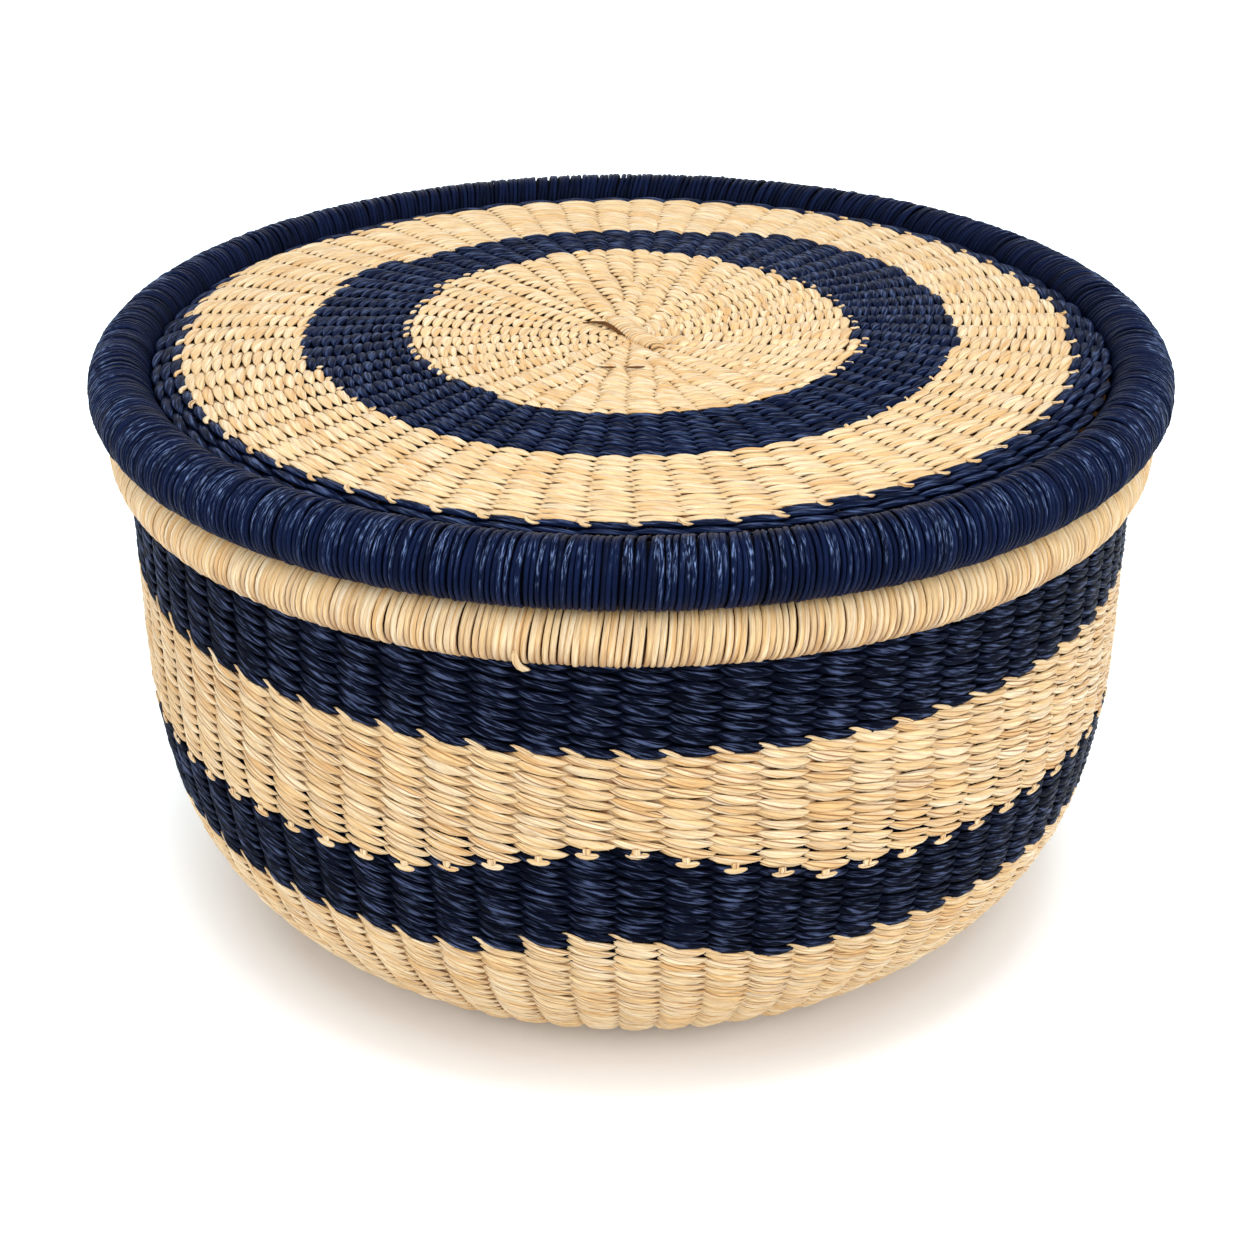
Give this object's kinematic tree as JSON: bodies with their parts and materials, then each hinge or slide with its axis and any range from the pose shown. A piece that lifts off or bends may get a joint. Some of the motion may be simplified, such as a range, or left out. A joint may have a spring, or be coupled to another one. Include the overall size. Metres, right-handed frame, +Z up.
{
  "type": "lidded basket",
  "caption": "Round twined grass storage basket with rounded lower wall, lashed rims and a flat lift-off lid, banded in natural straw and navy.",
  "frame": {"origin": "centre of the flat base, on the surface the basket stands on", "axes": "+Z up through the middle of the lid; -Y to the front, where the two lower colour borders climb to a peak; +X to the right seen from the front"},
  "size_m": [0.4596, 0.4596, 0.2637],
  "materials": {
    "natural_grass": "twined natural straw-coloured grass, satin",
    "navy_grass": "twined grass dyed navy, satin",
    "stake_grass": "bundled grass stems, matt"
  },
  "bodies": {
    "bowl": {"bowl_stakes": "stake_grass", "upper_navy_weft_outer": "navy_grass", "upper_navy_weft_inner": "navy_grass", "middle_natural_weft_outer": "natural_grass", "middle_natural_weft_inner": "natural_grass", "lower_navy_weft_outer": "navy_grass", "lower_navy_weft_inner": "navy_grass", "base_weft_outer": "natural_grass", "base_weft_inner": "natural_grass", "bowl_rim_core": "stake_grass", "bowl_rim_lashing": "natural_grass", "lashing_tail": "natural_grass"},
    "lid": {"lid_stakes": "stake_grass", "lid_centre_weft_top": "natural_grass", "lid_centre_weft_under": "natural_grass", "lid_navy_weft_top": "navy_grass", "lid_navy_weft_under": "navy_grass", "lid_natural_weft_top": "natural_grass", "lid_natural_weft_under": "natural_grass", "lid_border_weft_top": "navy_grass", "lid_border_weft_under": "navy_grass", "lid_rim_core": "stake_grass", "lid_rim_lashing": "navy_grass"}
  },
  "joints": [
    {"name": "lid_lift", "type": "slide", "parent": "bowl", "child": "lid", "axis": [0, 0, 1], "range_m": [0, 0.3]}
  ]
}
